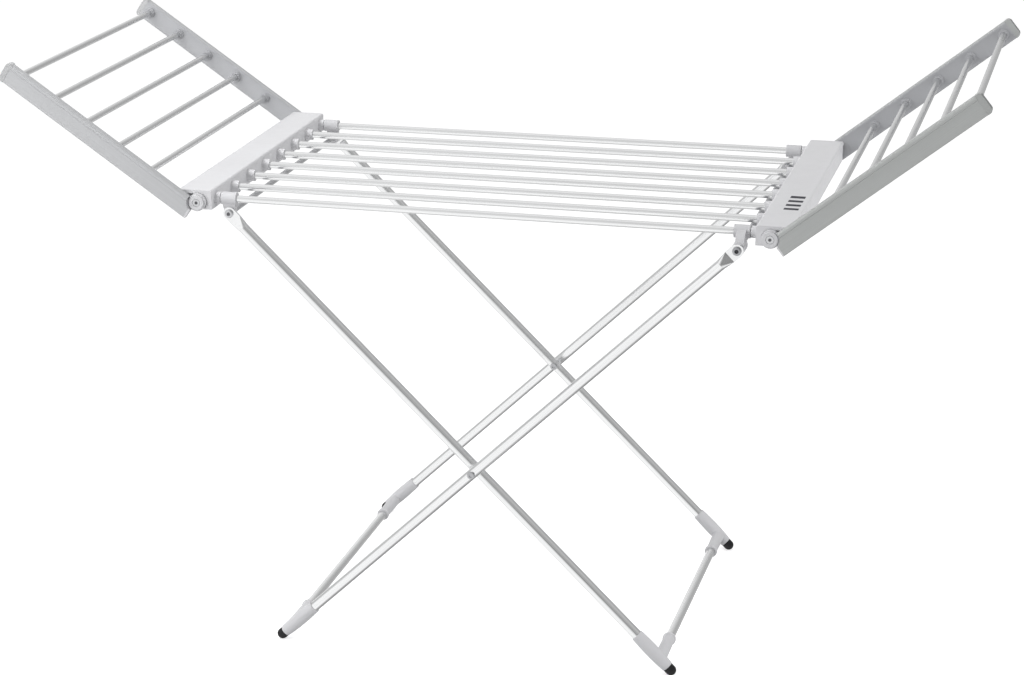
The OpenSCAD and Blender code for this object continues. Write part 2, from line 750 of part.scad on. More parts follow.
// Washer between the two tubes at each crossing
module crossing_spacers() {
    gap = frame_step - leg_d;
    color(PLASTIC) for (e = [-1, 1]) on_end(e)
        translate([0, flat_mid_in + leg_d / 2 + side_gap, cross_z]) along_y() difference() {
            cylinder(r = spacer_r, h = gap - 2 * side_gap, $fn = 32);
            translate([0, 0, -1]) cylinder(r = rivet_r + fit, h = gap + 2, $fn = 24);
        }
}

on_side(-1) box_base();  // box_base_left
box_base_right();
for (s = SIDES) on_side(s[1]) box_cover();
cover_screws();
hinge_screws();
for (i = [1:RACK_BARS]) rack_bar(i);
heater_rack();
terminal_block();
thermal_cutout();
cord_inlet();
switch_body();
switch_rocker();
bracket_fixed();
bracket_sliding();
pivot_rod(-1, flat_mid_in);  // pivot_rod_left
pivot_rod(1, flat_mid_out);  // pivot_rod_right
for (s = SIDES, e = ENDS) wing_place(s[1]) on_end(e[1]) rail();
for (s = SIDES, i = [1:WING_BARS])
    wing_bar(s[1], i);
for (s = SIDES) wing_plugs(s[1]);
for (s = SIDES) wing_caps(s[1]);
for (s = SIDES) wing_bushes(s[1]);
for (s = SIDES) wing_heater(s[1]);
for (e = ENDS) leg(1, e[1] * flat_mid_in);
for (e = ENDS) leg(-1, e[1] * flat_mid_out);
cross_tube(1, flat_mid_in);  // leg_inner_cross_tube
cross_tube(-1, flat_mid_out);  // leg_outer_cross_tube
leg_fittings(1, flat_mid_in);  // leg_inner_fittings
leg_fittings(-1, flat_mid_out);  // leg_outer_fittings
leg_tips(1, flat_mid_in);  // leg_inner_tips
leg_tips(-1, flat_mid_out);  // leg_outer_tips
crossing_rivets();
crossing_spacers();
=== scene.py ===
"""Portable clothes dryer: looks, light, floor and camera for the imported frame."""

import json
import math

import bmesh
import bpy
from mathutils import Matrix, Vector

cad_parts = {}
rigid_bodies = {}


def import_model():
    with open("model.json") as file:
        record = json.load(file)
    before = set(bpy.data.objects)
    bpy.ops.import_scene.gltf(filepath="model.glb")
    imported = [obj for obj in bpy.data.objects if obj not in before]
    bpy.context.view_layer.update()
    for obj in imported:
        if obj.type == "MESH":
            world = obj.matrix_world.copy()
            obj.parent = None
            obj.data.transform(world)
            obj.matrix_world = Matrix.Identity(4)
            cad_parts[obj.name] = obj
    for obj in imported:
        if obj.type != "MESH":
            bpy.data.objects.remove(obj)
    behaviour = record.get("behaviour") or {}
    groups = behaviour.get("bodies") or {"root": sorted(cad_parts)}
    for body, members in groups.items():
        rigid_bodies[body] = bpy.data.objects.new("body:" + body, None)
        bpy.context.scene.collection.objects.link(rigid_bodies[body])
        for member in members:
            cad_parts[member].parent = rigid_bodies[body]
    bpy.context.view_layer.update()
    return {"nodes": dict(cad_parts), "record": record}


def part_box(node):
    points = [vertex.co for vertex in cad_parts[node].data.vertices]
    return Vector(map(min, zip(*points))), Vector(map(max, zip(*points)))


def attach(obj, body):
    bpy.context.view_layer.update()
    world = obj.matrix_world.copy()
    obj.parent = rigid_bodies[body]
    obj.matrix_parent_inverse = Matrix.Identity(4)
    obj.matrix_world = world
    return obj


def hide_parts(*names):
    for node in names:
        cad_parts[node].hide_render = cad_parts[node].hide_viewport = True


# Blender's own start-up objects go before the frame comes.
for left_over in list(bpy.data.objects):
    bpy.data.objects.remove(left_over)
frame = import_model()

# Directions of the parts, in degrees (the same angles as in the CAD source)
WING_LEFT = 34
WING_RIGHT = 39
LEG = 44.01

# Colours, as linear red, green and blue
WHITE = (1.0, 1.0, 1.0)
HOUSING = (0.60, 0.60, 0.615)
PLUG = (0.588, 0.588, 0.6027)
FITTING = (0.53, 0.53, 0.545)
BUSH = (0.38, 0.385, 0.40)
CAP_LEFT = (0.42, 0.425, 0.43)
# The right caps are a darker copy of the left ones: painted shade.
CAP_RIGHT_SHADED = (0.36, 0.37, 0.365)
WASHER = (0.55, 0.56, 0.58)
TIP = (0.005, 0.005, 0.006)
SHEATH = (0.022, 0.022, 0.024)
SWITCH = (0.018, 0.018, 0.02)
INK = (0.022, 0.022, 0.032)
ALUMINIUM = (0.88, 0.885, 0.89)
WING_BAR = (0.8272, 0.8319, 0.8366)
RAIL_LEFT = (0.455, 0.46, 0.47)
# Darker copy for the inner faces of the left rails: painted shade.
RAIL_LEFT_INSIDE_SHADE = (0.42, 0.425, 0.44)
# The right rails are a darker copy of the left: painted shade.
RAIL_RIGHT_SHADED = (0.405, 0.416, 0.411)
# Darker copy for the inner faces of the right rails: painted shade.
RAIL_RIGHT_INSIDE_SHADE = (0.36, 0.365, 0.38)
SCREW = (0.50, 0.505, 0.52)
HINGE_HEAD = (0.66, 0.665, 0.68)
ROD_HEAD = (0.62, 0.625, 0.64)
# The right pivot rod head is a darker copy of the left, with a darker, wider socket: painted
# shade.
ROD_HEAD_RIGHT_SHADED = (0.40, 0.405, 0.42)
# Dark colour painted in the sockets of screw heads: painted shade in the recess.
SOCKET_SHADE = (0.144, 0.144, 0.153)
# The right pivot rod's socket is darker still: painted shade.
SOCKET_SHADE_RIGHT = (0.056, 0.056, 0.0595)
FLOOR = (0.62, 0.62, 0.625)

# Lengths in the finishes, in metres
MOULDED_EDGE = 0.0006    # rounding of the edges of plastic and rubber
METAL_EDGE = 0.0004      # and of metal
RUBBED_EDGE = 0.0009     # width of the rubbed edges of plastic
DUSTY_EDGE = 0.0008      # and of the dusty ones of rubber
GRAIN_DEPTH = 0.00006
RUBBER_GRAIN_DEPTH = 0.00008
TURNING_DEPTH = 0.00001
TURNING_SIZE = (0.0003, 0.004, 0.0003)
LINE_PITCH = 0.00045     # drawn lines of the tubes
LINE_LENGTH = 0.18
LINE_DEPTH = 0.00001
HAZE_SIZE = (0.09, 0.02, 0.02)
RAIL_PITCH = 0.0006      # extrusion lines of the rails
RAIL_LENGTH = 0.3
RAIL_DEPTH = 0.000006
INNER_SHADE_DEEP = 0.0004      # how far the painted shade of a rail's inner face reaches into the rail
INNER_SHADE_FADE = 0.0012      # and over what length it fades
# The painted shade in the sockets of the screw heads: its soft edge and its radii
SOCKET_SHADE_EDGE = 0.0003
HINGE_SOCKET_SHADE_R = 0.0023
ROD_SOCKET_SHADE_R = 0.0024
ROD_SOCKET_RIGHT_SHADE_R = 0.0030
HINGE_X = 0.398          # distance of the wing hinges from the middle of the rack
PIVOT_X = 0.356          # and of the pivot rods


# Node trees
class Nodes:
    """Adds nodes to one tree; most of its methods return what the new node puts out."""

    def __init__(self, tree, coordinates):
        self.tree = tree
        tree.nodes.clear()
        self.coord = self.add("ShaderNodeTexCoord")
        self.place = self.coord.outputs[coordinates]

    def add(self, kind, **values):
        node = self.tree.nodes.new(kind)
        for key, value in values.items():
            setattr(node, key, value)
        return node

    def link(self, source, target):
        self.tree.links.new(source, target)

    def put(self, value, socket):
        """Links a socket, or sets a plain number, direction or colour on it."""
        if isinstance(value, bpy.types.NodeSocket):
            self.link(value, socket)
        elif socket.type == "RGBA":
            socket.default_value = (*value, 1.0)
        else:
            socket.default_value = value

    def calc(self, operation, first, second=None):
        node = self.add("ShaderNodeMath", operation=operation)
        self.put(first, node.inputs[0])
        if second is not None:
            self.put(second, node.inputs[1])
        return node.outputs[0]

    def agree(self, first, second):
        """How closely two directions agree: 1 where they are the same."""
        node = self.add("ShaderNodeVectorMath", operation="DOT_PRODUCT")
        self.put(first, node.inputs[0])
        self.put(second, node.inputs[1])
        return node.outputs["Value"]

    def split(self, vector):
        """The X, Y and Z of a vector."""
        node = self.add("ShaderNodeSeparateXYZ")
        self.link(vector, node.inputs[0])
        return node.outputs

    def ramp(self, value, start, end, first, last, kind="LINEAR"):
        """Runs from first to last while value goes from start to end."""
        node = self.add("ShaderNodeMapRange", interpolation_type=kind)
        node.inputs["From Min"].default_value = start
        node.inputs["From Max"].default_value = end
        node.inputs["To Min"].default_value = first
        node.inputs["To Max"].default_value = last
        self.link(value, node.inputs["Value"])
        return node.outputs["Result"]

    def either(self, factor, first, second):
        """The first shader where factor is 0, and the second where it is 1."""
        node = self.add("ShaderNodeMixShader")
        for source, target in zip((factor, first, second), node.inputs):
            self.link(source, target)
        return node.outputs[0]


class Material(Nodes):
    """A node material round one principled shader."""

    def __init__(self, name):
        self.material = bpy.data.materials.new(name)
        self.material.use_nodes = True
        super().__init__(self.material.node_tree, "Object")
        self.bsdf = self.add("ShaderNodeBsdfPrincipled")
        self.surface = self.add("ShaderNodeOutputMaterial").inputs["Surface"]
        self.link(self.bsdf.outputs[0], self.surface)

    def shader(self, sockets):
        """Sets or links sockets of the principled shader by name."""
        for name, value in sockets.items():
            self.put(value, self.bsdf.inputs[name])

    def turned(self, rotation, scale):
        """The place along the part: rotation in degrees, scale in metres."""
        node = self.add("ShaderNodeMapping", vector_type="TEXTURE")
        node.inputs["Rotation"].default_value = [math.radians(angle) for angle in rotation]
        node.inputs["Scale"].default_value = scale
        self.link(self.place, node.inputs["Vector"])
        return node.outputs["Vector"]

    def noise(self, vector, scale=1.0, detail=2.0, rough=0.5):
        node = self.add("ShaderNodeTexNoise")
        node.inputs["Scale"].default_value = scale
        node.inputs["Detail"].default_value = detail
        node.inputs["Roughness"].default_value = rough
        self.link(vector, node.inputs["Vector"])
        return node.outputs["Fac"]

    def spread(self, noise, low, high):
        """Stretches the middle of a noise over a range."""
        return self.ramp(noise, 0.3, 0.7, low, high)

    def uneven(self, noise, middle, less, more):
        """A number that a noise moves a little up and down."""
        return self.spread(noise, middle - less, middle + more)

    def tint(self, factor, first, second):
        """The first colour where factor is 0, and the second where it is 1."""
        node = self.add("ShaderNodeMix", data_type="RGBA")
        self.link(factor, node.inputs["Factor"])
        self.put(first, node.inputs[6])
        self.put(second, node.inputs[7])
        return node.outputs[2]

    def drift(self, noise, colour, dark, light):
        """A colour between two of its shades, as the noise goes."""
        return self.tint(self.spread(noise, 0.0, 1.0), shade(colour, dark), shade(colour, light))

    def rounded(self, radius):
        """The surface direction as if the edges were rounded."""
        node = self.add("ShaderNodeBevel", samples=4)
        node.inputs["Radius"].default_value = radius
        return node.outputs["Normal"]

    def edge(self, radius):
        """1 on sharp edges, 0 on flat faces."""
        straight = self.add("ShaderNodeNewGeometry").outputs["Normal"]
        closeness = self.agree(self.rounded(radius), straight)
        return self.ramp(closeness, start=0.80, end=0.99, first=1.0, last=0.0)

    def painted_socket_shade(self, tone, centre, radius, dark):
        """Painted shade inside a sunk head; centre is its place (|x|, z) on an axis along Y."""
        place = self.split(self.place)
        flat = self.add("ShaderNodeCombineXYZ")
        self.link(self.calc("ABSOLUTE", place["X"]), flat.inputs["X"])
        self.link(place["Z"], flat.inputs["Z"])
        away = self.add("ShaderNodeVectorMath", operation="DISTANCE")
        self.link(flat.outputs[0], away.inputs[0])
        away.inputs[1].default_value = (centre[0], 0.0, centre[1])
        inside_shade = self.ramp(away.outputs["Value"], radius - SOCKET_SHADE_EDGE, radius, 1.0, 0.0)
        return self.tint(inside_shade, tone, dark)

    def bump(self, height, distance, strength, edge):
        """Relief from a height, on edges rounded by the radius edge."""
        node = self.add("ShaderNodeBump")
        node.inputs["Distance"].default_value = distance
        node.inputs["Strength"].default_value = strength
        self.link(height, node.inputs["Height"])
        self.link(self.rounded(edge), node.inputs["Normal"])
        return node.outputs["Normal"]


def shade(colour, factor):
    return tuple(min(1.0, part * factor) for part in colour)


# Materials
def plastic(name, colour, rough, grain=1400.0, wear=1.05, specular=0.5, end=None):
    """Moulded plastic: spark-eroded grain, slow tone drift, lighter rubbed edges.

    Faces that look along the direction end are darker: painted shade.
    """
    paint = Material(name)
    slow = paint.noise(paint.place, scale=9.0, detail=3.0)
    haze = paint.noise(paint.place, scale=60.0, detail=4.0, rough=0.65)
    fine = paint.noise(paint.place, scale=grain, rough=0.6)
    tone = paint.drift(slow, colour, dark=0.965, light=1.02)
    tone = paint.tint(paint.edge(RUBBED_EDGE), tone, shade(colour, wear))
    # Faces looking along end get a darker copy of the colour: painted shade.
    if end:
        closeness = paint.agree(paint.coord.outputs["Normal"], end)
        painted_shade_mask = paint.ramp(closeness, start=0.80, end=0.97, first=0.0, last=1.0)
        tone = paint.tint(painted_shade_mask, tone, shade(colour, 0.38))
    paint.shader({
        "Base Color": tone,
        "Specular IOR Level": specular,
        "Roughness": paint.uneven(haze, rough, less=0.05, more=0.06),
        "Normal": paint.bump(fine, GRAIN_DEPTH, strength=0.55, edge=MOULDED_EDGE),
    })
    return paint.material


def metal(name, colour, rough, rotation, pitch=LINE_PITCH, length=LINE_LENGTH,
          depth=LINE_DEPTH, metallic=1.0, flecks=0.0, inner=None):
    """Drawn or extruded aluminium: fine lines along the part, slow haze, dull flecks.

    inner is a distance from the middle of the depth and the colour of faces nearer than that, a
    painted shade.
    """
    paint = Material(name)
    lines = paint.noise(paint.turned(rotation, (length, pitch, pitch)), detail=3.0, rough=0.6)
    haze = paint.noise(paint.turned(rotation, HAZE_SIZE), detail=3.0)
    tone = paint.drift(lines, colour, dark=0.93, light=1.05)
    if flecks:
        specks = paint.noise(paint.place, scale=420.0)
        spots = paint.ramp(specks, start=0.68, end=0.8, first=0.0, last=flecks)
        tone = paint.tint(spots, tone, shade(colour, 0.7))
    # Faces near the middle of the depth, the rails' inner faces, get a darker colour: painted
    # shade.
    if inner:
        reach, inside_shade = inner
        across = paint.calc("ABSOLUTE", paint.split(paint.place)["Y"])
        painted_shade_mask = paint.ramp(across, reach, reach + INNER_SHADE_FADE, first=1.0, last=0.0)
        tone = paint.tint(painted_shade_mask, tone, inside_shade)
    paint.shader({
        "Metallic": metallic,
        "Base Color": tone,
        "Roughness": paint.uneven(haze, rough, less=0.05, more=0.07),
        "Normal": paint.bump(lines, depth, strength=0.6, edge=METAL_EDGE),
    })
    return paint.material


def rubber(name, colour, rough, grain=1800.0):
    """Soft black moulding with a dusty bloom on its edges."""
    paint = Material(name)
    dust = paint.noise(paint.place, scale=140.0, detail=4.0, rough=0.7)
    fine = paint.noise(paint.place, scale=grain)
    tone = paint.drift(dust, colour, dark=1.0, light=1.7)
    paint.shader({
        "Base Color": paint.tint(paint.edge(DUSTY_EDGE), tone, shade(colour, 3.2)),
        "Specular IOR Level": 0.4,
        "Roughness": paint.uneven(dust, rough, less=0.06, more=0.08),
        "Normal": paint.bump(fine, RUBBER_GRAIN_DEPTH, strength=0.6, edge=MOULDED_EDGE),
    })
    return paint.material


def steel(name, colour, rough, shaded_socket=None):
    """Zinc-plated steel: fine turning marks, a faint mottled haze and painted shade in the
    socket.
    """
    paint = Material(name)
    mottle = paint.noise(paint.place, scale=260.0, detail=4.0, rough=0.6)
    turning = paint.noise(paint.turned((0, 0, 0), TURNING_SIZE))
    tone = paint.drift(mottle, colour, dark=0.92, light=1.05)
    # The socket of the head is painted dark: painted shade in the recess.
    if shaded_socket:
        tone = paint.painted_socket_shade(tone, *shaded_socket)
    paint.shader({
        "Metallic": 1.0,
        "Base Color": tone,
        "Roughness": paint.uneven(turning, rough, less=0.05, more=0.1),
        "Normal": paint.bump(turning, TURNING_DEPTH, strength=0.5, edge=METAL_EDGE),
    })
    return paint.material


def socket_head(name, colour, rough, node, x, radius, dark):
    """Steel with painted shade in the socket of the node's heads, which lie x from the middle of
    the rack.
    """
    low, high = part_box(node)
    return steel(name, colour, rough, ((x, (low.z + high.z) / 2), radius, dark))


def rail(name, colour, angle, inside_shade):
    """Satin rails of one wing, whose inner faces are darker: painted shade."""
    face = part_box("wing_left_rail_back")[0].y + INNER_SHADE_DEEP
    return metal(name, colour, rough=0.46, rotation=(0, angle, 0), pitch=RAIL_PITCH,
                 length=RAIL_LENGTH, depth=RAIL_DEPTH, metallic=0.3, flecks=0.15,
                 inner=(face, inside_shade))


# Direction of the right caps' end faces, which get painted shade.
cap_end_in_shade = (math.cos(math.radians(WING_RIGHT)), 0.0, math.sin(math.radians(WING_RIGHT)))

housing = plastic("housing_plastic", HOUSING, rough=0.36)
plug = plastic("hinge_plastic", PLUG, rough=0.42)
fitting = plastic("fitting_plastic", FITTING, rough=0.40)
bush = plastic("bush_plastic", BUSH, rough=0.45)
cap_left = plastic("cap_plastic_left", CAP_LEFT, rough=0.42)
# The right caps: a darker copy of the left, with painted shade on their end faces.
cap_right_shaded = plastic("cap_plastic_right_shaded", CAP_RIGHT_SHADED, rough=0.42, end=cap_end_in_shade)
washer = plastic("washer_plastic", WASHER, rough=0.35)
ink = plastic("mark_ink", INK, rough=0.55, grain=900.0, wear=1.3, specular=0.3)
tip = rubber("tip_rubber", TIP, rough=0.55)
sheath = rubber("heater_sheath", SHEATH, rough=0.55)
switch = rubber("switch_plastic", SWITCH, rough=0.32, grain=2600.0)
screw = steel("plated_steel", SCREW, rough=0.30)
hinge_head = socket_head("hinge_screw_steel", HINGE_HEAD, 0.34, "hinge_screws",
                         HINGE_X, HINGE_SOCKET_SHADE_R, SOCKET_SHADE)
rod_head = socket_head("pivot_rod_steel", ROD_HEAD, 0.28, "pivot_rod_left",
                       PIVOT_X, ROD_SOCKET_SHADE_R, SOCKET_SHADE)
# The right pivot rod head: a darker copy, with a darker, wider socket: painted shade.
rod_head_right_shaded = socket_head("pivot_rod_steel_right_shaded", ROD_HEAD_RIGHT_SHADED, 0.32, "pivot_rod_right",
                             PIVOT_X, ROD_SOCKET_RIGHT_SHADE_R, SOCKET_SHADE_RIGHT)
along_x = metal("bar_along_x", ALUMINIUM, rough=0.20, rotation=(0, 0, 0))
along_y = metal("bar_along_y", WING_BAR, rough=0.24, rotation=(0, 0, 90))
tube_y = metal("tube_along_y", ALUMINIUM, rough=0.22, rotation=(0, 0, 90))
leg_down = metal("tube_falling", ALUMINIUM, rough=0.20, rotation=(0, LEG, 0))
leg_up = metal("tube_rising", ALUMINIUM, rough=0.20, rotation=(0, -LEG, 0))
rail_left = rail("rail_left", RAIL_LEFT, WING_LEFT, RAIL_LEFT_INSIDE_SHADE)
# The right rails: a darker copy of the left, painted shade.
rail_right_shaded = rail("rail_right_shaded", RAIL_RIGHT_SHADED, -WING_RIGHT, RAIL_RIGHT_INSIDE_SHADE)

# The first row whose start fits a node's name gives the node its material.
DRESS = [
    ("box_", housing), ("terminal_block", housing),
    ("wing_left_plugs", plug), ("wing_right_plugs", plug),
    ("wing_left_rail", rail_left), ("wing_right_rail", rail_right_shaded),
    ("wing_left_bar", along_y), ("wing_right_bar", along_y),
    ("wing_left_caps", cap_left), ("wing_right_caps", cap_right_shaded),
    ("wing_left_bushes", bush), ("wing_right_bushes", bush),
    ("wing_left_heater", sheath), ("wing_right_heater", sheath),
    ("heater_rack", sheath), ("rack_bar", along_x),
    ("leg_inner_cross", tube_y), ("leg_outer_cross", tube_y),
    ("leg_inner_fittings", fitting), ("leg_outer_fittings", fitting),
    ("leg_inner_tips", tip), ("leg_outer_tips", tip),
    ("leg_inner_", leg_down), ("leg_outer_", leg_up),
    ("bracket_", fitting), ("cord_inlet", fitting), ("crossing_spacers", washer),
    ("hinge_screws", hinge_head), ("pivot_rod_left", rod_head),
    ("pivot_rod_right", rod_head_right_shaded),
    ("switch_", switch), ("", screw),
]
for name, obj in frame["nodes"].items():
    chosen = next(material for start, material in DRESS if name.startswith(start))
    for i in range(len(obj.data.materials)):
        obj.data.materials[i] = chosen


def make_object(name, mesh, material):
    """Puts a finished mesh into the scene."""
    data = bpy.data.meshes.new(name)
    mesh.to_mesh(data)
    mesh.free()
    data.materials.append(material)
    obj = bpy.data.objects.new(name, data)
    bpy.context.scene.collection.objects.link(obj)
    return obj


# Printed marks
MARK_X = 0.4102
MARK_LENGTH = 0.0200
MARK_THICK = 0.00012
MARK_PROUD = 0.00004     # how far the ink stands above the cover
MARK_CORNER = 0.0005
MARKS = (                # the middle of each bar and half its width, along Y
    (-0.0965, 0.0062),
    (-0.1198, 0.0054),
    (-0.1425, 0.0054),
    (-0.1640, 0.0050),
)


def printed_marks():
    """Four plain short bars of dark ink on the right cover, with no lettering."""
    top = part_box("box_cover_right")[1].z + MARK_PROUD
    mesh = bmesh.new()
    for y, half_y in MARKS:
        made = bmesh.ops.create_cube(mesh, size=1.0)["verts"]
        bmesh.ops.scale(mesh, vec=(MARK_LENGTH, 2 * half_y, MARK_THICK), verts=made)
        bmesh.ops.translate(mesh, vec=(MARK_X, y, top - MARK_THICK / 2), verts=made)
    upright = [line for line in mesh.edges
               if abs((line.verts[0].co - line.verts[1].co).z) > MARK_THICK / 2]
    bmesh.ops.bevel(mesh, geom=upright, offset=MARK_CORNER, segments=4, affect="EDGES")
    obj = make_object("cover_marks", mesh, ink)
    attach(obj, "rack")


printed_marks()

# Leg feet: radii, and lengths along a leg from the ground point of its axis, in metres
LEG_R = 0.0075
CROSS_R = 0.0062
CROSS_WALL = 0.0012
CROSS_SHORT = 0.009      # from the axis of a leg to the end of the cross tube
SLEEVE_FIT = 0.00005     # room between a sleeve and its tube
TIP_R = 0.0077
TIP_END = 0.017          # where the tip ends and the sleeve starts
TIP_GAP = 0.0001
TIP_BEVEL = (0.0005, 0.0004)
TIP_PRESSED = 0.00008    # how far the dome would reach below the floor
TIP_STEM_R = 0.0058      # the stub inside the sleeve
TIP_STEM = 0.0065
SLEEVE_R = 0.0098        # at the middle, at the lower end and at the mouth
SLEEVE_LOW_R = 0.0082
SLEEVE_MOUTH_R = 0.0089
SLEEVE_END = 0.079
SLEEVE_RIM = 0.0008      # rounding of the lower end and of the mouth
SLEEVE_LIP = 0.0006
BRANCH_R = 0.0088
BRANCH_OUT_R = 0.0080
BRANCH_UP = 0.033        # where the cross tube meets the leg
BRANCH_END = 0.076       # from the axis of the leg, along the cross tube
BRANCH_SUNK = 0.0009     # how deep its start lies in the sleeve
RING_R = 0.0094
RING_WIDE = 0.0055
RING_STEP = 0.003        # length of the slope up to the ring
RING_IN = 0.0007         # rounding of the two edges of the ring
RING_OUT = 0.0012
TURN_STEPS = 48          # points round each turned form
SWELL_STEPS = 12         # points along the swell of a sleeve
SMOOTH_ANGLE = 35        # degrees; sharper edges stay sharp


def arc(centre, radius, start, end, steps):
    """Points of an arc in a profile: (along, out), angles in degrees."""
    points = []
    for i in range(steps + 1):
        angle = math.radians(start + (end - start) * i / steps)
        points.append((centre[0] + radius * math.cos(angle),
                       centre[1] + radius * math.sin(angle)))
    return points


def tip_profile():
    """A dome for the floor, a short straight skirt and a stub in the sleeve."""
    centre = (TIP_R - TIP_PRESSED) / math.sin(math.radians(LEG))
    dome = arc((centre, 0.0), TIP_R, 180, 90, 12)
    top = TIP_END - TIP_GAP
    stub = TIP_END + TIP_STEM
    return [(dome[0][0], 0.0)] + dome[1:] + [
        (top - TIP_BEVEL[0], TIP_R),
        (top, TIP_R - TIP_BEVEL[1]),
        (top, TIP_STEM_R),
        (stub, TIP_STEM_R),
        (stub, 0.0),
    ]


def sleeve_profile():
    """A rounded rim below, a slow swell and a lipped mouth."""
    bore = LEG_R + SLEEVE_FIT
    middle = (TIP_END + SLEEVE_END) / 2
    half = (SLEEVE_END - TIP_END) / 2
    points = [(TIP_END, bore)]
    points += arc((TIP_END + SLEEVE_RIM, SLEEVE_LOW_R - SLEEVE_RIM), SLEEVE_RIM, 180, 90, 4)
    for i in range(1, SWELL_STEPS):
        place = -1 + 2 * i / SWELL_STEPS
        end_r = SLEEVE_LOW_R if place < 0 else SLEEVE_MOUTH_R
        points.append((middle + half * place, end_r + (SLEEVE_R - end_r) * (1 - place ** 2)))
    points += arc((SLEEVE_END - SLEEVE_LIP, SLEEVE_MOUTH_R - SLEEVE_LIP), SLEEVE_LIP, 90, 0, 3)
    points.append((SLEEVE_END, bore))
    return points


def branch_profile():
    """A slow taper, a slope and a ring with rounded edges."""
    bore = CROSS_R + SLEEVE_FIT
    ring = BRANCH_END - RING_WIDE
    points = [(0.0, bore), (0.0, BRANCH_R), (ring - RING_STEP, BRANCH_OUT_R)]
    points += arc((ring + RING_IN, RING_R - RING_IN), RING_IN, 180, 90, 4)
    points += arc((BRANCH_END - RING_OUT, RING_R - RING_OUT), RING_OUT, 90, 0, 5)
    points.append((BRANCH_END, bore))
    return points


def lathe(mesh, profile, start, axis, loop):
    """Turns a profile of (along, out) points round an axis; returns its rings of vertices."""
    axis = axis.normalized()
    side = axis.orthogonal().normalized()
    other = axis.cross(side)
    rings = []
    for along, out in profile:
        middle = start + axis * along
        if out == 0.0:
            rings.append([mesh.verts.new(middle)])
            continue
        ring = []
        for i in range(TURN_STEPS):
            angle = 2 * math.pi * i / TURN_STEPS
            outward = side * math.cos(angle) + other * math.sin(angle)
            ring.append(mesh.verts.new(middle + outward * out))
        rings.append(ring)
    pairs = list(zip(rings, rings[1:]))
    if loop:
        pairs.append((rings[-1], rings[0]))
    for low, high in pairs:
        for i in range(TURN_STEPS):
            j = (i + 1) % TURN_STEPS
            around = [low[i % len(low)], low[j % len(low)],
                      high[j % len(high)], high[i % len(high)]]
            mesh.faces.new([vert for k, vert in enumerate(around) if vert not in around[:k]])
    return rings


def finish_mesh(mesh, name, material, body, node):
    """Smooths all but the sharp edges and puts the piece in the place of its node."""
    bmesh.ops.recalc_face_normals(mesh, faces=mesh.faces)
    for face in mesh.faces:
        face.smooth = True
    for line in mesh.edges:
        line.smooth = line.calc_face_angle(0.0) < math.radians(SMOOTH_ANGLE)
    obj = make_object(name, mesh, material)
    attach(obj, body)
    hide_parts(node)


def feet(which, side):
    """Sleeves, tips and cross tube of one leg frame, whose feet are on this side of x."""
    slope = math.radians(LEG)
    up = Vector((-side * math.cos(slope), 0.0, math.sin(slope)))
    start = "foot_right" if side > 0 else "foot_left"
    grounds = [Vector(mount["pos_m"]) for mount in frame["record"]["mounts"]
               if mount["name"].startswith(start)]
    sleeves = bmesh.new()
    tips = bmesh.new()
    cross = bmesh.new()
    for ground in grounds:
        lathe(tips, tip_profile(), ground, up, False)
        lathe(sleeves, sleeve_profile(), ground, up, True)
        inward = Vector((0.0, -math.copysign(1.0, ground.y), 0.0))
        joint = ground + up * BRANCH_UP
        rings = lathe(sleeves, branch_profile(), joint, inward, True)
        # The start of the branch is cut to the sleeve.
        across = up.cross(inward)
        saddle = SLEEVE_R - BRANCH_SUNK
        for vert in rings[0] + rings[1]:
            off = (vert.co - joint).dot(across)
            vert.co += inward * math.sqrt(max(0.0, saddle ** 2 - off ** 2))
    # The dome is pressed flat where it stands.
    for vert in tips.verts:
        vert.co.z = max(vert.co.z, 0.0)
    middle = grounds[0] + up * BRANCH_UP
    middle.y = 0.0
    reach = abs(grounds[0].y) - CROSS_SHORT
    bore = CROSS_R - CROSS_WALL
    lathe(cross, [(-reach, bore), (-reach, CROSS_R), (reach, CROSS_R), (reach, bore)],
          middle, Vector((0, 1, 0)), True)
    finish_mesh(cross, which + "_leg_cross_tube", tube_y, which + "_legs",
                "leg_" + which + "_cross_tube")
    finish_mesh(sleeves, which + "_leg_fittings", fitting, which + "_legs",
                "leg_" + which + "_fittings")
    finish_mesh(tips, which + "_leg_tips", tip, which + "_legs",
                "leg_" + which + "_tips")


feet("inner", 1)
feet("outer", -1)

# Floor and light
FLOOR_R = 9.0
FLOOR_GLOW = 0.62        # lifts the lit floor to white for the camera alone
MATT_LIGHT = 0.62        # how strongly the world lights matt surfaces

# What metal mirrors is a white studio with some darker patches. Each has its direction, how
# closely a mirrored ray agrees with it where the patch starts and where it is full, and its
# brightness at these two.
CORNER = ((0.55, -0.62, 0.56), 0.35, 1.0, 1.06, 0.41)
LOW_FRONT = ((0.349, -0.912, 0.217), 0.975, 0.992, 1.0, 0.40)
UNDER = ((0.20, 0.08, -0.98), 0.80, 0.98, 1.0, 0.40)
FAR_LEFT = ((-0.92, 0.10, 0.36), 0.86, 0.98, 1.0, 0.55)
STRAIGHT_BACK = ((0.0, 1.0, 0.0), 0.94, 0.99, 1.0, 0.74)
BACK_FALL = (-0.3, 0.45, 0.86, 0.42)     # the back darkens to the right, along X
FRONT_TO_BACK = (-0.1, 0.35, 0.0, 1.0)   # the front goes over into the back, along Y

LAMPS = (                # name, place, aim, size and power
    ("key", (-1.4, -0.5, 2.1), (-0.5, 0.0, 0.65), (1.0, 1.0), 27.0),
    ("top", (0.1, 0.5, 2.7), (0.0, 0.0, 0.4), (2.6, 1.6), 8.0),
    ("front", (-1.7, -2.3, 0.9), (-0.3, 0.0, 0.6), (1.6, 1.6), 27.0),
    ("fill", (2.6, -0.2, 0.9), (0.0, 0.0, 0.6), (1.6, 1.6), 30.0),
)


